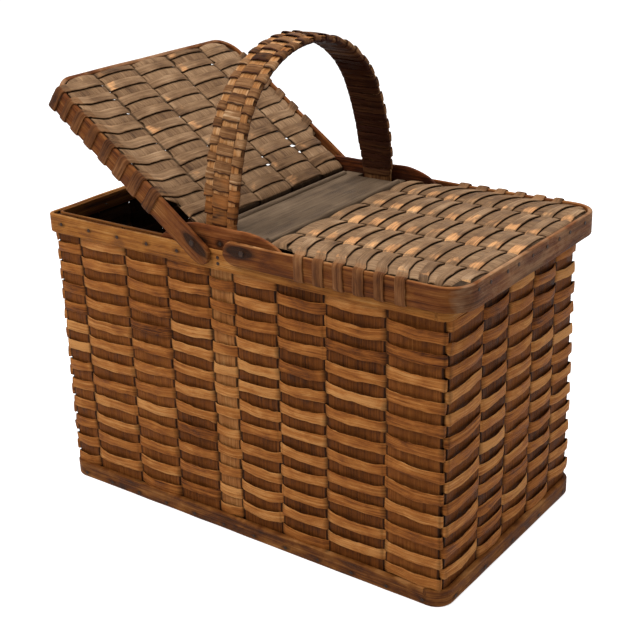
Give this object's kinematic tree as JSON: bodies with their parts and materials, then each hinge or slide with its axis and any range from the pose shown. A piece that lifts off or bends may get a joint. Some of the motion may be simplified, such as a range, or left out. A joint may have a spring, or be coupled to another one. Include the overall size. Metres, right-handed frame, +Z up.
{
  "type": "picnic basket",
  "caption": "Oblong woven splint picnic basket with a board base, a fixed arched handle over a centre board, and woven lids hinged on nails.",
  "frame": {"origin": "middle of the underside of the base, on the floor under the middle of the basket", "axes": "+Z up; +X along the basket towards the end whose lid is shut in the picture; -Y is the long front side in the picture; the rest pose has the lid at -X open and the lid at +X shut"},
  "size_m": [0.4966, 0.27, 0.4804],
  "materials": {
    "base_board": "matt",
    "base_band": "worn satin",
    "stakes": "worn matt",
    "weavers": "worn satin",
    "rims": "worn satin",
    "cheeks": "worn satin",
    "handle": "worn matt",
    "board": "weathered",
    "lid_frames": "worn satin",
    "lid_panels": "worn matt",
    "nails": "rusted"
  },
  "bodies": {
    "basket": {"base_board": "base_board", "base_band": "base_band", "base_nails": "nails", "front_stakes": "stakes", "back_stakes": "stakes", "right_end_stakes": "stakes", "left_end_stakes": "stakes", "handle_tails": "stakes", "even_weavers": "weavers", "odd_weavers": "weavers", "outer_rim": "rims", "left_inner_rim": "rims", "right_inner_rim": "rims", "rim_nails": "nails", "front_cheek": "cheeks", "back_cheek": "cheeks", "handle_hoop": "handle", "handle_ribs": "handle", "handle_wraps": "handle", "handle_nails": "nails", "centre_board": "board", "board_beads": "board", "pivot_nails": "nails"},
    "left_lid": {"left_lid_frame": "lid_frames", "left_lid_ledge": "lid_frames", "left_lid_bar": "lid_frames", "left_lid_splints": "lid_panels", "left_lid_wefts": "lid_panels", "left_lid_wraps": "lid_frames", "left_lid_nails": "nails"},
    "right_lid": {"right_lid_frame": "lid_frames", "right_lid_ledge": "lid_frames", "right_lid_bar": "lid_frames", "right_lid_splints": "lid_panels", "right_lid_wefts": "lid_panels", "right_lid_wraps": "lid_frames", "right_lid_nails": "nails"}
  },
  "joints": [
    {"name": "left_lid_hinge", "type": "hinge", "parent": "basket", "child": "left_lid", "pos_m": [-0.0344, 0, 0.306], "axis": [0, 1, 0], "range_deg": [-36.5, 8]},
    {"name": "right_lid_hinge", "type": "hinge", "parent": "basket", "child": "right_lid", "pos_m": [0.0256, 0, 0.306], "axis": [0, -1, 0], "range_deg": [0, 50]}
  ]
}
